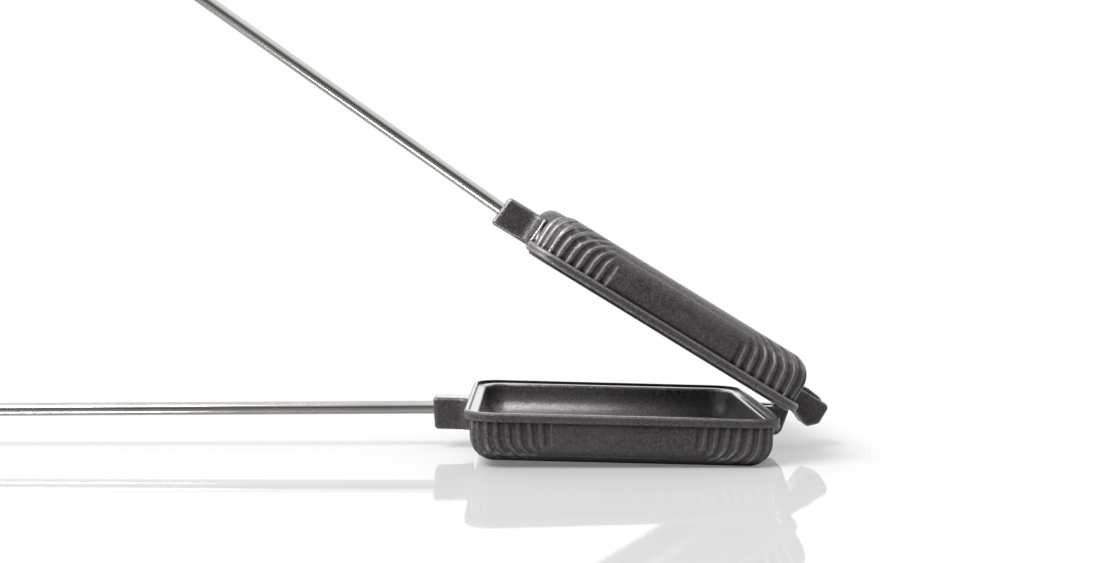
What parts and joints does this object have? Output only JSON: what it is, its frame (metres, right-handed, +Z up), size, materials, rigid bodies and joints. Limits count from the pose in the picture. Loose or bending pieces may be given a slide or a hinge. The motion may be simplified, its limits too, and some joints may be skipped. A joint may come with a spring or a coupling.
{
  "type": "pie iron",
  "caption": "Square cast-iron pie iron, propped open: two hinged half shells on long steel rods with turned wooden grips and a hook latch.",
  "frame": {"origin": "on the table, under the middle of the part's bounding box", "axes": "+Z up; handles towards -X, hinge towards +X; the latch is on the -Y side"},
  "size_m": [0.7166, 0.108, 0.4183],
  "materials": {
    "cast_iron": "seasoned, satin",
    "rod_steel": "bright plated",
    "pin_steel": "dull",
    "plated_steel": "zinc plated",
    "ferrule_steel": "bright",
    "latch_steel": "zinc plated",
    "grip_wood": "oiled hardwood"
  },
  "bodies": {
    "base": {"base_casting": "cast_iron", "hinge_pin": "pin_steel", "lower_rod": "rod_steel", "lower_grip": "grip_wood", "lower_ferrule": "ferrule_steel", "lower_end_washer": "plated_steel", "lower_end_nut": "plated_steel", "latch_catch_screw": "plated_steel"},
    "lid": {"lid_casting": "cast_iron", "upper_rod": "rod_steel", "upper_grip": "grip_wood", "upper_ferrule": "ferrule_steel", "upper_end_washer": "plated_steel", "upper_end_nut": "plated_steel", "latch_pivot_screw": "plated_steel", "latch_washer": "plated_steel"},
    "latch": {"latch_hook": "latch_steel"}
  },
  "joints": [
    {"name": "lid_hinge", "type": "hinge", "parent": "base", "child": "lid", "pos_m": [0.3381, 0, 0.00863], "axis": [0, 1, 0], "range_deg": [-30, 65]},
    {"name": "latch_swing", "type": "hinge", "parent": "lid", "child": "latch", "pos_m": [-0.16705, 0, 0.37347], "axis": [0, 1, 0], "range_deg": [-149.69, 30.31]}
  ]
}
